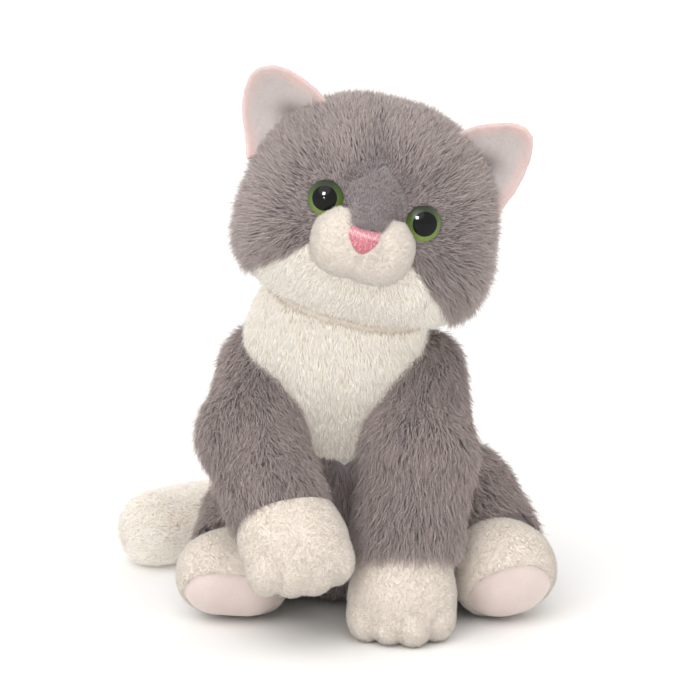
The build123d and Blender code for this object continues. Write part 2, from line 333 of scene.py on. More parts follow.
def mix_col(nt, fac, a, b, kind="MIX"):
    n = nt.nodes.new("ShaderNodeMix")
    n.data_type = "RGBA"
    n.blend_type = kind
    if isinstance(fac, (int, float)):
        n.inputs[0].default_value = fac
    else:
        nt.links.new(fac, n.inputs[0])
    for s, x in ((6, a), (7, b)):
        if isinstance(x, tuple):
            n.inputs[s].default_value = (*x, 1)
        else:
            nt.links.new(x, n.inputs[s])
    return n.outputs[2]


def noise(nt, scale, detail=3.0, rough=0.55, vector=None):
    n = nt.nodes.new("ShaderNodeTexNoise")
    n.inputs["Scale"].default_value = scale
    n.inputs["Detail"].default_value = detail
    n.inputs["Roughness"].default_value = rough
    if vector is None:
        t = nt.nodes.new("ShaderNodeTexCoord")
        vector = t.outputs["Object"]
    nt.links.new(vector, n.inputs["Vector"])
    return n


def bump(nt, p, height, strength, dist):
    b = nt.nodes.new("ShaderNodeBump")
    b.inputs["Strength"].default_value = strength
    b.inputs["Distance"].default_value = dist
    nt.links.new(height, b.inputs["Height"])
    nt.links.new(b.outputs["Normal"], p.inputs["Normal"])


def hair_mat(name, root, mid, tip, dark, light, rough=0.75, sheen=0.25, tint=(1, 1, 1), glow=0.0):
    """Hair coloured along its length, darker towards the root as painted shade deep in the coat, each hair with its own
    tone.
    """
    m, nt, p = new_mat(name)
    uv = nt.nodes.new("ShaderNodeUVMap")
    uv.uv_map = "OFBake"
    sep = nt.nodes.new("ShaderNodeSeparateXYZ")
    nt.links.new(uv.outputs["UV"], sep.inputs[0])
    # painted shade: each hair darker towards its root
    along = ramp(nt, sep.outputs["Y"], [(0.0, root), (0.5, mid), (1.0, tip)])
    tone = ramp(nt, sep.outputs["X"], [(0.0, dark), (0.5, (1, 1, 1)), (1.0, light)])
    col = mix_col(nt, 1.0, along, tone, "MULTIPLY")
    nt.links.new(col, p.inputs["Base Color"])
    p.inputs["Roughness"].default_value = rough
    p.inputs["Specular IOR Level"].default_value = 0.25
    p.inputs["Sheen Weight"].default_value = sheen
    p.inputs["Sheen Roughness"].default_value = 0.4
    # painted light: this emission glow stands in for light passed on between pale hairs
    if glow:        # light handed on from hair to hair inside a pale coat
        p.inputs["Emission Color"].default_value = (1.0, 0.95, 0.88, 1)
        p.inputs["Emission Strength"].default_value = glow
    p.inputs["Sheen Tint"].default_value = (*tint, 1)
    return m


def cloth_mat(name, c1, c2, scale=900.0, rough=0.9, strength=0.5, dist=0.0004, sheen=0.4, tint=(1, 1, 1)):
    m, nt, p = new_mat(name)
    big = noise(nt, 60.0, 2.0)
    fine = noise(nt, scale, 4.0, 0.7)
    f = nt.nodes.new("ShaderNodeMath")
    f.operation = "ADD"
    nt.links.new(big.outputs["Fac"], f.inputs[0])
    nt.links.new(fine.outputs["Fac"], f.inputs[1])
    g = nt.nodes.new("ShaderNodeMath")
    g.operation = "MULTIPLY"
    g.inputs[1].default_value = 0.5
    nt.links.new(f.outputs[0], g.inputs[0])
    nt.links.new(ramp(nt, g.outputs[0], [(0.3, c1), (0.7, c2)]), p.inputs["Base Color"])
    p.inputs["Roughness"].default_value = rough
    p.inputs["Specular IOR Level"].default_value = 0.2
    p.inputs["Sheen Weight"].default_value = sheen
    p.inputs["Sheen Tint"].default_value = (*tint, 1)
    bump(nt, p, fine.outputs["Fac"], strength, dist)
    return m


GREY_HAIR = hair_mat("grey_hair", srgb(135, 123, 126), srgb(171, 157, 157), srgb(217, 203, 196),
                     (0.68, 0.67, 0.68), (1.2, 1.18, 1.17), sheen=0.35, tint=(1.0, 0.95, 0.92))
GREY_SHORT = hair_mat("grey_short_hair", srgb(146, 136, 136), srgb(170, 160, 160), srgb(196, 186, 184),
                      (0.84, 0.83, 0.84), (1.12, 1.11, 1.1), sheen=0.3)
# white_hair carries the painted glow (emission) on top of its own colour
WHITE_HAIR = hair_mat("white_hair", srgb(246, 238, 225), srgb(253, 247, 238), srgb(255, 252, 246),
                      (0.93, 0.92, 0.9), (1.0, 1.0, 1.0), sheen=0.6, tint=(1.0, 0.98, 0.94), glow=0.17)
WHITE_PLUSH = hair_mat("white_plush_hair", srgb(232, 222, 211), srgb(240, 231, 221), srgb(246, 239, 230),
                       (0.95, 0.945, 0.935), (1.01, 1.01, 1.01), sheen=0.35, tint=(1.0, 0.98, 0.95))
# painted shade: the grey backing is as dark as the hair roots, so gaps between hairs look shadowed
GREY_SKIN = cloth_mat("grey_backing", srgb(124, 114, 116), srgb(148, 138, 140))
WHITE_SKIN = cloth_mat("white_backing", srgb(230, 220, 208), srgb(240, 231, 221), strength=0.25)
SOLE = cloth_mat("sole_suede_cloth", srgb(206, 190, 184), srgb(223, 208, 202), scale=1500.0, strength=0.35, dist=0.0002, sheen=0.4)


def painted_mat(name, base, a, b, scale=1200.0, strength=0.4, dist=0.0002, rough=0.9, sheen=0.4):
    """Cloth shaded by the painted vertex layer: red mixes in colour a, green mixes in colour b."""
    m, nt, p = new_mat(name)
    at = nt.nodes.new("ShaderNodeAttribute")
    at.attribute_name = "shade"
    sep = nt.nodes.new("ShaderNodeSeparateColor")
    nt.links.new(at.outputs["Color"], sep.inputs[0])
    fine = noise(nt, scale, 4.0, 0.7)
    col = ramp(nt, fine.outputs["Fac"], [(0.3, tuple(c * 0.92 for c in base)), (0.7, base)])
    col = mix_col(nt, sep.outputs[0], col, a)
    col = mix_col(nt, sep.outputs[1], col, b)
    nt.links.new(col, p.inputs["Base Color"])
    p.inputs["Roughness"].default_value = rough
    p.inputs["Specular IOR Level"].default_value = 0.2
    p.inputs["Sheen Weight"].default_value = sheen
    bump(nt, p, fine.outputs["Fac"], strength, dist)
    return m


# ear lining: colour a is the pink of the rim; colour b is painted shade for the hollow at the base of the ear
EAR_IN = painted_mat("ear_velour_cloth", srgb(214, 204, 201), srgb(236, 200, 193), srgb(120, 110, 110))
# nose: colour a is a painted highlight (the pale band across the top and pale glint speckles); colour b gives dark
# thread speckle and a darker lower part
NOSE_BASE = painted_mat("nose_thread_satin", srgb(206, 122, 134), srgb(246, 214, 216), srgb(165, 78, 92), scale=2600.0, strength=0.6, rough=0.45, sheen=0.3)


def paint(ob, v, red, green):
    me = ob.data
    lay = me.color_attributes.new("shade", "FLOAT_COLOR", "POINT")
    c = np.ones((len(v), 4), np.float32)
    c[:, 0], c[:, 1], c[:, 2] = np.clip(red(v), 0, 1), np.clip(green(v), 0, 1), 0
    lay.data.foreach_set("color", c.ravel())


# ------------------------------------------------------------ body dimensions
HEAD_C = A([10.5, -14.0, 176.0])
ROLL = math.radians(14.7)
HX = A([math.cos(ROLL), 0, -math.sin(ROLL)])
HY = A([0.0, 1.0, 0.0])
HZ = A([math.sin(ROLL), 0, math.cos(ROLL)])
HM = np.stack([HX, HY, HZ])          # rows: local axes in the world


def to_world(q):
    return q @ HM + HEAD_C


R_ARM = [A([-35, -2, 105.0]), A([-40, -30, 81.0]), A([-29, -62, 60.0])]
R_ARM_R = [16.2, 18.6, 18.2]
L_ARM = [A([33, -5, 103.0]), A([31.5, -37, 74.0]), A([26.5, -54, 42.0])]
L_ARM_R = [16.2, 20.4, 20.2]
R_HIP, R_ANK, R_LEG_R = A([-37, 14, 28.5]), A([-46, -16, 22.5]), (25.0, 18.8)
L_HIP, L_ANK, L_LEG_R = A([47, 12, 36.5]), A([66, -15, 24.5]), (28.4, 19.6)
R_WR, R_WN = A([-29, -67, 56.5]), vec(0.22, -0.50, -0.84)
L_WR, L_WN = A([26.5, -55.5, 36.5]), vec(-0.02, -0.30, -0.95)


def limb(p, pts, r, k=7.0):
    return smin(rcone(p, pts[0], r[0], pts[1], r[1]), rcone(p, pts[1], r[1], pts[2], r[2]), k)


def r_arm(p):
    return limb(p, R_ARM, R_ARM_R)


def l_arm(p):
    return limb(p, L_ARM, L_ARM_R)


def r_thigh(p):
    return rcone(p, R_HIP, R_LEG_R[0], R_ANK, R_LEG_R[1])


def l_thigh(p):
    return rcone(p, L_HIP, L_LEG_R[0], L_ANK, L_LEG_R[1])


def swung(p, pivot, axis, deg):
    """The point as the limb at rest would see it when it has turned by deg."""
    a = -math.radians(deg)
    k = A(axis, float)
    q = p - pivot
    c, s = math.cos(a), math.sin(a)
    return q * c + np.cross(np.broadcast_to(k, q.shape), q) * s + np.outer(q @ k, k) * (1 - c) + pivot


def trunk_raw(p):
    d = rcone(p, (3, 14, 37.5), 42.6, (3, 12, 97.5), 33.0)
    return smax(d, 0.5 - p[..., 2], 5.0)


def trunk(p):
    d = trunk_raw(p)
    for deg in (0, 15, 30, 45):
        d = smax(d, 0.9 - r_arm(swung(p, R_ARM[0], (-1, 0, 0), deg)), 1.5)
        d = smax(d, 0.9 - l_arm(swung(p, L_ARM[0], (-1, 0, 0), deg)), 1.5)
    for deg in (0, 11, 22):
        d = smax(d, 0.9 - r_thigh(swung(p, R_HIP, (0, 0, -1), deg)), 1.5)
        d = smax(d, 0.9 - l_thigh(swung(p, L_HIP, (0, 0, 1), deg)), 1.5)
    return smax(d, 0.9 - tail(p), 1.5)


def bib(p):
    """The white chest, a soft cushion that rolls over the roots of the arms and fills the room under the chin."""
    d = eld(p, (-4, -9, 113), (38.5, 25.0, 45))
    d = smin(d, rcone(p, (-3, -6, 84), 21.0, (-2, -10, 108), 26.0), 9.0)
    d = smax(d, p[..., 1] - 3.0, 3.0)
    return smax(d, 1.0 - head_raw((p - HEAD_C) @ HM.T), 2.5)


# tail: bent tube lying on the table
def _circle(a, b, c):
    (ax, ay), (bx, by), (cx, cy) = a, b, c
    den = 2 * (ax * (by - cy) + bx * (cy - ay) + cx * (ay - by))
    ox = ((ax**2 + ay**2) * (by - cy) + (bx**2 + by**2) * (cy - ay) + (cx**2 + cy**2) * (ay - by)) / den
    oy = ((ax**2 + ay**2) * (cx - bx) + (bx**2 + by**2) * (ax - cx) + (cx**2 + cy**2) * (bx - ax)) / den
    return ox, oy


T_O = _circle((9, 58.5), (-41, 68), (-88, 48))
T_R = math.hypot(9 - T_O[0], 58.5 - T_O[1])
T_A0 = math.atan2(58.5 - T_O[1], 9 - T_O[0])
T_A1 = math.atan2(48 - T_O[1], -88 - T_O[0])
T_SEAM = T_A0 + (T_A1 - T_A0) * 0.56


def tail_at(p):
    a = np.arctan2(p[..., 1] - T_O[1], p[..., 0] - T_O[0])
    a = np.where(a < -1.0, a + 6.2831853, a)
    a = np.clip(a, T_A0, T_A1)
    c = np.stack([T_O[0] + T_R * np.cos(a), T_O[1] + T_R * np.sin(a), np.full(a.shape, 17.2)], -1)
    return a, c


def tail(p):
    a, c = tail_at(p)
    t = (a - T_A0) / (T_A1 - T_A0)
    r = 15.6 + 0.9 * np.sin(t * 2.6) + 0.5 * wob(p, 60, 2)
    return smax(ln(p - c) - r, 0.4 - p[..., 2], 3.0)


# head, in its own axes
def _look(s):
    a, e = math.radians(11), math.radians(5)
    return vec(s * math.sin(a) * math.cos(e), -math.cos(a) * math.cos(e), math.sin(e))


EYE = {1: (A([20.8, -44.6, 7.2]), _look(1)), -1: (A([-20.8, -44.6, 7.2]), _look(-1))}
FOLDS = [((-13.5, 15.0), (-1.0, 25.5), 2.2), ((13.0, 15.0), (3.0, 24.5), 1.4), ((12.0, 16.5), (27.0, 31.0), 1.8), ((-2.0, 25.0), (-11.0, 44.0), 1.3)]


def folds(q):
    """How close a point of the brow is to one of the gathered folds, 0 to 1."""
    out = 0
    for a, b, w in FOLDS:
        a, b = A(a), A(b)
        p2 = q[..., [0, 2]]
        t = np.clip(((p2 - a) @ (b - a)) / ((b - a) @ (b - a)), 0, 1)
        d = ln(p2 - a - t[..., None] * (b - a))
        out = np.maximum(out, w / 2.2 * np.exp(-(d / 2.6) ** 2))
    return out * (q[..., 1] < 0)


def head_raw(q):
    d = rcone(q, (-4.6, 0, 0), 46.5, (5.2, 0, 0), 46.5)
    for s in (1, -1):
        c, n = EYE[s]
        d = smin(d, eld(q, (s * 30 + 0.8, -15, -13), (21.0, 26, 24)), 9.0)
        d = smax(d, 8.4 - ln((q - (c + n * 6.5)) / A([1.15, 1, 1])), 3.0)
    return d + 1.0 * folds(q)


MX = -1.2


def muzzle(q):
    d = smin(eld(q, (MX + 9.9, -43.5, -7.4), (11.7, 15.4, 14.2)), eld(q, (MX - 9.9, -43.5, -7.4), (11.7, 15.4, 14.2)), 4.5)
    d = smin(d, eld(q, (MX, -45, -12.0), (16.0, 15.0, 10.6)), 5.0)
    d = smin(d, eld(q, (MX, -45, -7.0), (11.2, 17.6, 11.6)), 3.0)
    x = q[..., 0] - MX
    slit = np.exp(-((x - 0.25 * (q[..., 2] + 9)) / 1.3) ** 2) * step(-q[..., 2], 7, 11) * step(q[..., 2], -25, -15)
    notch = np.exp(-((x + 2.0) / 2.0) ** 2 - ((q[..., 2] + 22) / 3.0) ** 2)
    return d + 0.55 * slit + 1.0 * notch


BRIDGE = [(-5.5, -2.0), (5.0, -2.0), (8.0, 5.0), (12.5, 10.0), (10.5, 15.0), (6.0, 20.0), (-0.6, 25.5), (-6.5, 20.0), (-12.0, 15.0), (-13.0, 10.0), (-9.0, 5.0)]


def bridge2(q):
    return np.where(q[..., 1] < -20, poly2(q[..., [0, 2]], BRIDGE), 40.0)


def white2(q):
    """Below zero on the white chin and cheeks."""
    ax = np.abs(q[..., 0])
    line = q[..., 2] + 10.5 + 0.85 * np.maximum(ax - 20.0, 0) + 3.5 * step(q[..., 0], -20, -30) * 0
    return np.maximum(line * 0.8, q[..., 1] - 8.0)


def bridge_bump(q):
    """Pad that carries the short pile down between the cheeks to the nose."""
    return rcone(q, (-0.5, -39.5, 17), 8.4, (-1.6, -50.2, 1.0), 8.2)


def head(q):
    return smin(head_raw(q), bridge_bump(q), 6.0)


# --------------------------------------------------------------- soft pieces
made = {}


def skin(name, f, lo, hi, h, body, nodes, slot, mat, fill=0.8, local=False):
    v, quads = nets(f, lo, hi, h)
    made[name] = (v, quads)
    w = to_world(v) if local else v
    ob = mesh_object(name, w, [quads], mat)
    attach(ob, body)
    if nodes:
        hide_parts(*nodes)
    return ob


def comb_noise(p, n, c, rng, amount, size=14.0, seed=1):
    """Tangent comb direction with a slow swirl and a little scatter."""
    t = unit(c - (c * n).sum(-1)[:, None] * n)
    s = np.cross(n, t)
    a = wob(p, size, seed) * amount + rng.normal(size=len(p)) * amount * 0.55
    return t * np.cos(a)[:, None] + s * np.sin(a)[:, None]


MAX_HAIRS = 19500


def fur(name, src, f, body, mat, density, length, width, comb, a0, a1, seed,
        where=None, keep=None, local=False, short=False, clump=0.35, cell=3.0, swirl=0.3, curl=0.12, tone=None, jitter=0.35):
    rng = np.random.default_rng(seed)
    v, quads = made[src]
    p = scatter(v, quads, density, rng, where)
    if keep is not None and len(p):
        p = p[keep(p, rng)]
    n = unit(grad(f, p, 0.6))
    c = comb_noise(p, n, comb(p, n), rng, swirl, seed=seed % 4 + 1)
    L = length(p) * (1 + rng.uniform(-jitter, jitter, len(p)) * 0.8)
    W = width * (0.75 + 0.5 * rng.uniform(size=len(p)))
    e0 = np.full(len(p), a0) + rng.normal(size=len(p)) * 0.18
    e1 = np.full(len(p), a1) + rng.normal(size=len(p)) * 0.2
    t = 0.5 + 0.15 * rng.normal(size=len(p)) + 0.12 * wob(p, 9, 5) + 0.16 * wob(p, 34, 9)
    if not short:   # a few long pale guard hairs stand over the coat
        guard = rng.uniform(size=len(p)) < 0.06
        L = L * np.where(guard, 1.22, 1.0)
        e1 = e1 + np.where(guard, 0.25, 0.0)
        t = t + np.where(guard, 0.35, 0.0)
    if tone is not None:
        t = t + tone(p)
    obs = []
    parts = max(1, int(math.ceil(len(p) / MAX_HAIRS)))
    order = np.arange(len(p)) * parts // max(1, len(p))
    for i in range(parts):
        m = order == i
        hv, hf, huv = strands(p[m], n[m], c[m], L[m], W[m], e0[m], e1[m], t[m], rng, short, clump, cell, curl)
        if local:
            hv = to_world(hv)
        hv[:, 2] = np.maximum(hv[:, 2], 0.15)
        ob = mesh_object(name + ("_" + "abcdefgh"[i] if parts > 1 else ""), hv, hf, mat, huv)
        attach(ob, body)
        obs.append(ob)
    hairs.append((name, len(p)))
    return obs


hairs = []


def const(x):
    return lambda p: np.full(len(p), float(x))


def toward(d):
    d = A(d, float)
    return lambda p, n: np.broadcast_to(d, p.shape)


def clear_of(*fs, gap=0.5):
    def k(p, rng):
        ok = np.ones(len(p), bool)
        for f in fs:
            ok &= f(p) > gap
        return ok
    return k


# ---- trunk
CHEST = [(-38, 150), (-38, 99), (-29, 86), (0, 66), (26, 86), (34, 99), (34, 150)]


def chest2(p):
    return np.maximum(poly2(p[..., [0, 2]], CHEST), p[..., 1] - 4.0)


TB = ((-42, -31, 0), (48, 59, 133))
skin("trunk_back_skin", lambda p: smax(trunk(p), -chest2(p), 1.6), *TB, 1.8, "trunk",
     ("trunk_left_panel", "trunk_right_panel", "seat_panel"), "grey_pile", GREY_SKIN)
skin("chest_skin", bib, (-46, -40, 58), (40, 6, 150), 1.6, "trunk",
     ("chest_panel",), "white_pile", WHITE_SKIN)

# ---- arms
skin("right_sleeve_skin", lambda p: smax(r_arm(p), plane(p, R_WR, R_WN) - 0.4, 3.0), (-66, -86, 36), (-6, 20, 128), 1.7,
     "right_arm", ("right_arm_sleeve",), "grey_pile", GREY_SKIN)
skin("left_sleeve_skin", lambda p: smax(l_arm(p), plane(p, L_WR, L_WN) - 0.4, 3.0), (2, -80, 18), (62, 18, 126), 1.7,
     "left_arm", ("left_arm_sleeve",), "grey_pile", GREY_SKIN)

# right paw: hangs over the hind foot, its back towards the front
PF = vec(0.24, -0.60, -0.76)
PS = vec(0.95, 0.28, 0.12)
PS = PS - (PS @ PF) * PF
PS /= np.linalg.norm(PS)
PN = np.cross(PF, PS)
if PN[2] < 0:
    PN = -PN
PC = A([-21.0, -75.0, 46.0])
PA = np.stack([PS, PF, PN], 1)


def r_paw(p):
    q = (p - PC) @ PA
    d = eld(q, (0, -1, 0), (21.5, 19, 16.6))
    d = smin(d, rcone(q, (-1, -14, 1), 17.9, (0, 0, 0), 16.6), 7.0)
    ax = A([0.882, -0.309, -0.356]) * 4.6
    c = A([-21.0, -76.5, 45.5])
    d = smin(d, rcone(p, c - ax, 17.9, c + ax, 17.9), 4.0)
    for x, y, z, r in ((-14.6, 10.2, -1.0, 8.0), (-4.9, 13.2, 0.4, 8.0), (5.3, 13.6, 0.4, 8.2), (15.0, 10.6, -1.0, 8.2)):
        d = smin(d, eld(q, (x, y, z), (r * 0.93, r * 1.15, r * 1.5)), 2.4)
    return d


skin("right_paw_skin", lambda p: smax(r_paw(p), -plane(p, R_WR, R_WN) - 0.2, 2.5), (-48, -104, 18), (8, -50, 74), 1.2,
     "right_arm", ("right_arm_paw",), "white_short_plush", WHITE_SKIN, fill=0.9)


def l_paw(p):
    d = rcone(p, (26.5, -56.0, 38), 19.2, (24.5, -59.4, 20), 19.4)
    d = smin(d, eld(p, (24.2, -57, 14.6), (21.6, 18.6, 14.6)), 6.0)
    d = smin(d, rcone(p, (21.6, -60.5, 19.8), 18.5, (27.4, -60.5, 19.8), 18.5), 4.0)
    for x, y, z, r in ((9.2, -64.5, 10.6, 8.4), (18.6, -69.6, 10.0, 7.8), (28.8, -71.0, 9.8, 8.2), (38.8, -65.0, 10.6, 8.2)):
        d = smin(d, eld(p, (x, y, z), (r * 0.94, r * 1.15, r * 1.25)), 2.2)
    return smax(d, 0.3 - p[..., 2], 1.2)


skin("left_paw_skin", lambda p: smax(l_paw(p), -plane(p, L_WR, L_WN) - 0.2, 2.5), (-2, -92, 0), (52, -30, 48), 1.2,
     "left_arm", ("left_arm_paw",), "white_short_plush", WHITE_SKIN, fill=0.9)

# ---- hind legs
FEET = {
    "right": dict(c=A([-48.5, -36, 19.6]), half=6.0, r=18.2, roll=4, n=vec(-0.05, -0.80, -0.60), hip=R_HIP, ank=R_ANK, thigh=r_thigh),
    "left": dict(c=A([69.0, -35, 21.4]), half=2.2, r=20.2, roll=-18, n=vec(0.20, -0.80, -0.56), hip=L_HIP, ank=L_ANK, thigh=l_thigh),
}
for side, F in FEET.items():
    n = F["ank"] - F["hip"]
    n[2] = 0
    n /= np.linalg.norm(n)
    F["an"], F["ao"] = n, F["ank"] + n * 4
    ra = math.radians(F["roll"])
    ax = A([math.cos(ra), 0, -math.sin(ra)])
    F["ax"] = ax

    def foot(p, F=F):
        d = rcone(p, F["c"] - F["ax"] * F["half"], F["r"], F["c"] + F["ax"] * F["half"], F["r"])
        d = smin(d, sph(p, F["c"] + F["an"] * -8 + A([0, 0, 1.5]), F["r"] * 0.93), 6.0)
        return smax(d, 0.5 - p[..., 2], 3.0)

    F["foot"] = foot
    F["so"] = F["c"] + F["n"] * F["r"] * 0.56
    lo = np.minimum(F["c"] - 32, F["ank"] - 26)
    hi = np.maximum(F["c"] + 32, F["ank"] + 26)
    skin(side + "_thigh_skin", lambda p, F=F: smax(smax(F["thigh"](p), plane(p, F["ao"], F["an"]) - 0.4, 3.0), 0.5 - p[..., 2], 3.0),
         np.minimum(F["hip"] - 30, F["ank"] - 24), np.maximum(F["hip"] + 30, F["ank"] + 24), 1.8,
         side + "_leg", (side + "_leg_thigh",), "grey_pile", GREY_SKIN)
    skin(side + "_foot_skin", lambda p, F=F: smax(smax(F["foot"](p), -plane(p, F["ao"], F["an"]) - 0.2, 2.5), plane(p, F["so"], F["n"]), 3.0),
         lo, hi, 1.2, side + "_leg", (side + "_leg_foot",), "white_short_plush", WHITE_SKIN, fill=0.9)
    skin(side + "_sole_skin", lambda p, F=F: smax(F["foot"](p) + 0.9, -plane(p, F["so"], F["n"]) - 3.2, 1.5),
         lo, hi, 1.0, side + "_leg", (side + "_leg_sole",), "sole_suede", SOLE, fill=0.9)

# ---- tail
SEAM_N = A([-math.sin(T_SEAM), math.cos(T_SEAM), 0])
SEAM_O = A([T_O[0] + T_R * math.cos(T_SEAM), T_O[1] + T_R * math.sin(T_SEAM), 17.2])
TL = ((-108, 26, 0), (28, 90, 36))
skin("tail_base_skin", lambda p: smax(tail(p), plane(p, SEAM_O, SEAM_N), 1.8), *TL, 1.8, "tail", ("tail_base",), "grey_pile", GREY_SKIN)
skin("tail_tip_skin", lambda p: smax(tail(p), -plane(p, SEAM_O, SEAM_N), 1.8), *TL, 1.6, "tail", ("tail_tip",), "white_pile", WHITE_SKIN)

# ---- head
HB = ((-58, -60, -52), (58, 50, 52))
skin("head_skin", lambda q: smax(head(q), -white2(q), 1.6), *HB, 1.8, "head",
     ("head_left_panel", "head_right_panel", "nose_bridge_panel"), "grey_pile", GREY_SKIN, local=True)
skin("chin_cheek_skin", lambda q: smax(head(q), white2(q), 1.6), (-58, -60, -52), (58, 12, -10), 1.6, "head",
     ("chin_cheek_panel",), "white_pile", WHITE_SKIN, local=True)
skin("muzzle_skin", lambda q: smax(muzzle(q), -(head_raw(q) + 3.0), 1.0), (-28, -64, -36), (28, -26, 4), 1.0, "head",
     ("muzzle_panel",), "white_short_plush", WHITE_SKIN, fill=0.95, local=True)

# ------------------------------------------------------------------ the fur
def arm_comb(pts):
    def c(p, n):
        t = np.clip(((p - pts[0]) @ (pts[2] - pts[0])) / ((pts[2] - pts[0]) @ (pts[2] - pts[0])), 0, 1)[:, None]
        d = unit(pts[1] - pts[0]) * (1 - t) + unit(pts[2] - pts[1]) * t
        return d + A([0, 0, -0.25])
    return c


def head_comb(q, n):
    d = unit(q - A([0, -62, 0]))
    low = step(-q[:, 2], -10, 25)[:, None]
    side = step(np.abs(q[:, 0]), 15, 40)[:, None]
    return d + A([0, 0.3, 0]) + low * side * A([0, 0, -0.75]) + n * 0


def head_len(q):
    e = np.minimum(sph(q, EYE[1][0], 0), sph(q, EYE[-1][0], 0))
    b = bridge2(q)
    d = np.minimum(np.minimum(e - 8.5, muzzle(q) * 1.1 + 0.5), b + 1.0)
    L = 8.4 - 1.4 * step(q[:, 2], 0, 40) + 1.5 * step(np.abs(q[:, 0]), 25, 50) * step(-q[:, 2], -5, 20)
    L = L * (1 - 0.35 * folds(q))
    return np.where(b < 0, 2.6, 3.0 + (L - 3.0) * step(d, 0.0, 13.0))


def eye_free(q):
    return np.minimum(sph(q, EYE[1][0], 7.1), sph(q, EYE[-1][0], 7.1))


def head_keep(q, rng):
    m = (muzzle(q) > -0.6) & (eye_free(q) > 0) & (white2(q) > -0.4)
    return m & (q[:, 1] ** 2 + q[:, 0] ** 2 + (q[:, 2] + 46) ** 2 > 12**2)


def seamed(zone, lim=-0.6):
    return lambda p: (zone(p) < lim).astype(float)


def on_skin(f, tol=0.9):
    return lambda p, rng: np.abs(f(p)) < tol


def both(*ks):
    def k(p, rng):
        m = np.ones(len(p), bool)
        for x in ks:
            m &= x(p, rng)
        return m
    return k


Q = 1.0
# tone: painted shade darkens the hairs in the brow folds; hairs are also darker in a band along the edge of the nose
# bridge, and lighter towards the sides and on the crown
fur("head_fur", "head_skin", head, "head", GREY_HAIR, 3.7 * Q, head_len, 0.27, head_comb, 0.72, 0.26, 11,
    keep=both(head_keep, on_skin(head), lambda q, r: bridge2(q) > 0), local=True, clump=0.16, cell=3.6, swirl=0.22, curl=0.16,
    where=lambda q: 1 - 0.45 * step(q[:, 1], 5, 20),
    tone=lambda q: -0.3 * folds(q) - 0.12 * np.exp(-((bridge2(q) - 2.0) / 2.5) ** 2) + 0.16 * step(np.abs(q[:, 0]), 30, 55) + 0.1 * step(q[:, 2], 25, 45))
fur("bridge_fur", "head_skin", head, "head", GREY_SHORT, 5.5 * Q, const(2.4), 0.3, lambda q, n: np.broadcast_to(A([0, 0, 1.0]), q.shape), 0.9, 0.5, 12,
    keep=both(head_keep, on_skin(head), lambda q, r: bridge2(q) <= 0), local=True, short=True, clump=0.2, cell=1.6)
fur("cheek_fur", "chin_cheek_skin", head, "head", WHITE_HAIR, 3.8 * Q, lambda q: 4.0 + 2.6 * step(muzzle(q), 0, 8), 0.28, head_comb, 0.5, 0.2, 13,
    keep=both(lambda q, r: (muzzle(q) > -0.4) & (white2(q) < 0.4), on_skin(head)), local=True, clump=0.12, cell=3.4)
fur("muzzle_fur", "muzzle_skin", muzzle, "head", WHITE_PLUSH, 9.0 * Q, const(1.3), 0.24, head_comb, 1.0, 0.8, 14,
    keep=both(lambda q, r: head_raw(q) > -1.0, on_skin(muzzle, 0.7)), local=True, short=True, clump=0.1, cell=1.2)

fur("trunk_fur", "trunk_back_skin", trunk, "trunk", GREY_HAIR, 2.1 * Q, const(8.2), 0.33, toward((0, 0.1, -1)), 0.68, 0.26, 21, clump=0.2,
    keep=both(clear_of(r_arm, l_arm, r_thigh, l_thigh, tail, gap=1.5), clear_of(bib, gap=-1.0), on_skin(trunk_raw), lambda p, r: p[:, 2] > 1.5))
fur("chest_fur", "chest_skin", bib, "trunk", WHITE_HAIR, 3.8 * Q, const(6.4), 0.28, toward((0, -0.15, -1)), 0.45, 0.18, 22,
    keep=both(clear_of(r_arm, l_arm, gap=-1.0), clear_of(trunk_raw, gap=-1.0), lambda p, r: (p[:, 1] < 1) & (head_raw((p - HEAD_C) @ HM.T) > 3.0)), clump=0.12, cell=3.6)
for side, f, pts, s, wr, wn in (("right", r_arm, R_ARM, 31, R_WR, R_WN), ("left", l_arm, L_ARM, 32, L_WR, L_WN)):
    fur(side + "_sleeve_fur", side + "_sleeve_skin", f, side + "_arm", GREY_HAIR, 3.3 * Q, const(8.4), 0.28, arm_comb(pts), 0.7, 0.26, s, clump=0.18, swirl=0.26,
        keep=both(clear_of(trunk_raw, gap=-1.5), clear_of(bib, gap=-0.5), on_skin(f), lambda p, r, o=wr, n=wn: plane(p, o, n) < 0.5))
for side, F in FEET.items():
    fur(side + "_thigh_fur", side + "_thigh_skin", F["thigh"], side + "_leg", GREY_HAIR, 2.6 * Q, const(8.0), 0.31,
        toward(F["an"] + A([0, 0, -0.5])), 0.7, 0.26, 41 if side == "right" else 42, clump=0.18,
        keep=both(clear_of(trunk_raw, gap=-1.5), on_skin(F["thigh"]), lambda p, r, F=F: (plane(p, F["ao"], F["an"]) < 0.5) & (p[:, 2] > 1.5)))
    fur(side + "_foot_fur", side + "_foot_skin", F["foot"], side + "_leg", WHITE_PLUSH, 6.5 * Q, const(1.5), 0.26,
        toward(F["an"] + A([0, 0, -0.2])), 1.0, 0.8, 43 if side == "right" else 44, short=True, clump=0.1, cell=1.4,
        keep=both(clear_of(F["thigh"], gap=-0.5), on_skin(F["foot"], 1.6), lambda p, r: p[:, 2] > 0.9))
fur("right_paw_fur", "right_paw_skin", r_paw, "right_arm", WHITE_PLUSH, 6.5 * Q, const(1.5), 0.26, toward(PF), 1.0, 0.8, 51,
    short=True, clump=0.1, cell=1.4, keep=both(on_skin(r_paw), lambda p, r: plane(p, R_WR, R_WN) > -0.3))
fur("left_paw_fur", "left_paw_skin", l_paw, "left_arm", WHITE_PLUSH, 6.5 * Q, const(1.5), 0.26, toward(L_WN), 1.0, 0.8, 52,
    short=True, clump=0.1, cell=1.4, keep=both(on_skin(l_paw), lambda p, r: (plane(p, L_WR, L_WN) > -0.3) & (p[:, 2] > 0.9)))


def tail_comb(p, n):
    a, _ = tail_at(p)
    return np.stack([-np.sin(a), np.cos(a), -0.1 + 0 * a], -1)


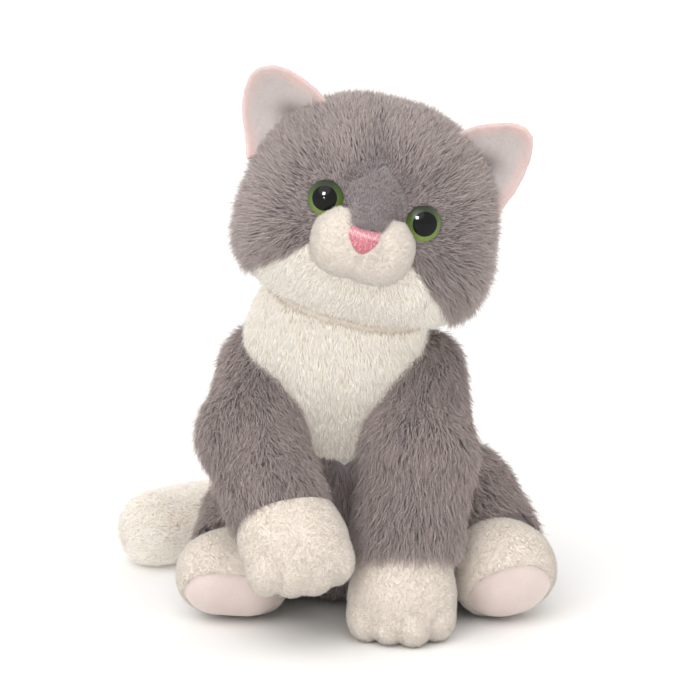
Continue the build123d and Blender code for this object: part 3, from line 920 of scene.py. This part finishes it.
fur("tail_base_fur", "tail_base_skin", tail, "tail", GREY_HAIR, 2.1 * Q, const(8.0), 0.36, tail_comb, 0.7, 0.28, 61,
    keep=both(on_skin(tail), clear_of(trunk_raw, gap=-2.0), lambda p, r: p[:, 2] > 1.5))
fur("tail_tip_fur", "tail_tip_skin", tail, "tail", WHITE_HAIR, 4.5 * Q, const(3.6), 0.3, tail_comb, 0.8, 0.4, 62,
    keep=both(on_skin(tail), lambda p, r: p[:, 2] > 1.2), clump=0.15, cell=2.2)

# ----------------------------------------------------------------- the ears
EARS = {
    -1: [(-56, 10), (-59.5, 19.7), (-62, 25.5), (-63.6, 31.2), (-64.2, 37.8), (-63.4, 44.0), (-60.6, 48.0), (-55.2, 50.3), (-48.3, 50.0), (-41.9, 48.0), (-35.3, 45.2), (-28, 40.5), (-38, 18)],
    1: [(27, 42.5), (34.5, 47.4), (39.7, 49.5), (46, 51.6), (50.6, 52.4), (55.1, 51.6), (58.2, 48.8), (59.6, 45), (60.2, 39.2), (59.5, 31.1), (57.6, 23.7), (55.2, 18.1), (52, 10), (38, 18)],
}


def ear_parts(s):
    cup = A([s * 48.5, -35.0, 32.0])
    tri = EARS[s]

    def outline(q, grow):
        return poly2(q[..., [0, 2]], tri) - grow

    def lining(q):
        d = np.abs(sph(q, cup, 35.0)) - 1.5
        return smax(smax(d, outline(q, 0.6), 2.4), -18 - q[..., 1], 1.0)

    def back(q):
        d = np.abs(sph(q, cup, 37.3)) - 1.2
        return smax(smax(d, outline(q, -0.2), 1.8), -18 - q[..., 1], 1.0)

    return back, lining, outline, cup


for s, side in ((1, "left"), (-1, "right")):
    back, lining, outline, cup = ear_parts(s)
    lo = (min(s * 18, s * 68), -20, 2)
    hi = (max(s * 18, s * 68), 8, 56)
    skin(side + "_ear_back_skin", back, lo, hi, 0.9, "head", (side + "_ear_back",), "grey_pile", GREY_SKIN, fill=0.3, local=True)
    ob = skin(side + "_ear_lining_skin", lining, lo, hi, 0.8, "head", (side + "_ear_lining",), "ear_velour", EAR_IN, fill=0.3, local=True)
    # red paints the pink rim; green paints shade into the hollow at the base of the ear
    paint(ob, made[side + "_ear_lining_skin"][0],
          lambda q, o=outline: 0.85 * step(o(q, 0), -6.5, -0.5) * (0.75 + 0.25 * wob(q, 14, 3)),
          lambda q, s=s: 0.75 * np.exp(-(((q[:, 0] * s - 43) / 7.0) ** 2 + ((q[:, 2] - 33) / 5.0) ** 2)))
    fur(side + "_ear_velour", side + "_ear_lining_skin", lining, "head", EAR_IN, 4.0 * Q, const(0.9), 0.22, toward((s * 0.5, 0, 1)), 1.0, 0.8, 81 + s,
        short=True, local=True, clump=0.0, keep=lambda q, r, c=cup: (head(q) > -0.5) & (sph(q, c, 35.0) < 0.6))
    fur(side + "_ear_fur", side + "_ear_back_skin", back, "head", GREY_SHORT, 4.0 * Q, const(2.6), 0.3, toward((s * 0.5, 0, 1)), 0.7, 0.4, 71 + s, short=True,
        local=True, clump=0.2, cell=1.6,
        keep=lambda q, r, f=lining, c=cup, o=outline: (f(q) > 0.4) & (head(q) > -0.5) & (sph(q, c, 37.3) > -0.4) & (o(q, 0) < -2.4))

# ----------------------------------------------------------------- the nose
NX = MX - 0.9
NOSE = [(-6.4, -0.6), (-5.6, 0.7), (-2.5, 0.5), (0, 0.3), (2.5, 0.5), (5.6, 0.7), (6.4, -0.6), (6.0, -3.0), (3.0, -7.2), (1.2, -8.6), (-1.2, -8.6), (-3.0, -7.2), (-6.0, -3.0)]
NOSE = [(x + NX, z) for x, z in NOSE]


def nose(q):
    d = smin(muzzle(q) - 0.6, eld(q, (NX, -53.2, -3.4), (9.2, 9.4, 7.6)), 2.0)
    d = smax(smax(d, poly2(q[..., [0, 2]], NOSE) - 0.3, 1.2), q[..., 1] + 52.0, 1.0)
    thread = np.abs(np.sin((q[..., 0] + 0.25 * wob(q, 4, 1)) * math.pi / 0.62))
    return d + 0.16 - 0.2 * thread


ob = skin("nose_pad", nose, (-10, -66, -11), (7, -50, 3), 0.26, "head", ("nose_patch",), "nose_thread", NOSE_BASE, fill=1.0, local=True)
_nw = np.random.default_rng(5)
# red: painted highlight, a pale band across the top of the pad, and pale speckles painted as glints of the thread;
# green: dark speckle in the thread and darker towards the bottom
paint(ob, made["nose_pad"][0],
      lambda q: 0.9 * np.exp(-((q[:, 2] + 1.0) / 1.0) ** 2) * (0.55 + 0.45 * np.sin(q[:, 0] * 8)) + 0.8 * (wob(q, 1.3, 2) > 0.55) * _nw.uniform(size=len(q)),
      lambda q: 0.75 * (wob(q, 1.1, 4) > 0.2) * _nw.uniform(size=len(q)) + 0.3 * step(-q[:, 2], 4, 9))

# ------------------------------------------------------- eyes: CAD solids stay
iris, nt, p = new_mat("eye_iris_green")
tc = nt.nodes.new("ShaderNodeTexCoord")
sep = nt.nodes.new("ShaderNodeSeparateXYZ")
nt.links.new(tc.outputs["Generated"], sep.inputs[0])
n1 = noise(nt, 700.0, 4.0, 0.6)
# painted shade: the iris is bright green at the bottom and goes darker to near black at the top
iris_painted_shade = ramp(nt, sep.outputs["Z"], [(0.0, srgb(140, 164, 84)), (0.35, srgb(100, 126, 54)), (0.7, srgb(64, 84, 34)), (1.0, srgb(16, 22, 12))])
grain = ramp(nt, n1.outputs["Fac"], [(0.3, (0.82, 0.84, 0.8)), (0.7, (1.0, 1.0, 1.0))])
nt.links.new(mix_col(nt, 1.0, iris_painted_shade, grain, "MULTIPLY"), p.inputs["Base Color"])
p.inputs["Roughness"].default_value = 0.3
p.inputs["Specular IOR Level"].default_value = 0.3
p.inputs["Coat Weight"].default_value = 0.25
p.inputs["Coat Roughness"].default_value = 0.05
pupil, nt, p = new_mat("eye_pupil_black")
n1 = noise(nt, 300.0, 2.0)
nt.links.new(ramp(nt, n1.outputs["Fac"], [(0.3, srgb(5, 6, 6)), (0.8, srgb(12, 14, 13))]), p.inputs["Base Color"])
p.inputs["Roughness"].default_value = 0.06
p.inputs["Specular IOR Level"].default_value = 0.22
for side in ("left", "right"):
    for node, m in ((side + "_eye_iris", iris), (side + "_eye_pupil", pupil)):
        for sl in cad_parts[node].material_slots:
            sl.material = m

# ------------------------------------------------------------ floor and light
mf, nt, p = new_mat("studio_floor")
n1 = noise(nt, 3.0, 2.0)
nt.links.new(ramp(nt, n1.outputs["Fac"], [(0.3, (0.90, 0.895, 0.885)), (0.7, (0.93, 0.925, 0.915))]), p.inputs["Base Color"])
p.inputs["Roughness"].default_value = 0.9
me = bpy.data.meshes.new("studio_floor")
me.from_pydata([(-20, -20, 0), (20, -20, 0), (20, 20, 0), (-20, 20, 0)], [], [(0, 1, 2, 3)])
me.materials.append(mf)
fl = bpy.data.objects.new("studio_floor", me)
bpy.context.scene.collection.objects.link(fl)

w = bpy.data.worlds.new("studio")
w.use_nodes = True
w.node_tree.nodes["Background"].inputs["Color"].default_value = (1.0, 0.99, 0.98, 1)
w.node_tree.nodes["Background"].inputs["Strength"].default_value = 0.95
bpy.context.scene.world = w


def area(name, loc, size, power, target=(0, 0, 0.11)):
    L = bpy.data.lights.new(name, "AREA")
    L.size = size
    L.energy = power
    o = bpy.data.objects.new(name, L)
    o.location = loc
    o.rotation_euler = (Vector(target) - Vector(loc)).to_track_quat("-Z", "Y").to_euler()
    bpy.context.scene.collection.objects.link(o)
    return o


sun = bpy.data.lights.new("soft_top", "SUN")
sun.energy = 1.0
sun.angle = math.radians(60)
so = bpy.data.objects.new("soft_top", sun)
so.rotation_euler = Vector((0.35, 0.75, -1.0)).to_track_quat("-Z", "Y").to_euler()
bpy.context.scene.collection.objects.link(so)
box = area("eye_softbox", (-0.42, -1.05, 0.86), 0.34, 26.0)
box.visible_diffuse = False
box.visible_transmission = False

ELEV = math.radians(12.0)
DIST = 1.10
T = Vector((0.0022, 0, 0.112))
cam = bpy.data.cameras.new("camera")
cam.lens = 36 * DIST / 0.308
cam.sensor_width = 36
cam.clip_end = 60
co = bpy.data.objects.new("camera", cam)
co.location = T + Vector((0, -math.cos(ELEV), math.sin(ELEV))) * DIST
co.rotation_euler = (T - co.location).to_track_quat("-Z", "Y").to_euler()
bpy.context.scene.collection.objects.link(co)
bpy.context.scene.camera = co
bpy.context.scene.view_settings.view_transform = "Standard"
bpy.context.scene.view_settings.exposure = 0.12

print("hairs", sum(k for _, k in hairs), hairs)
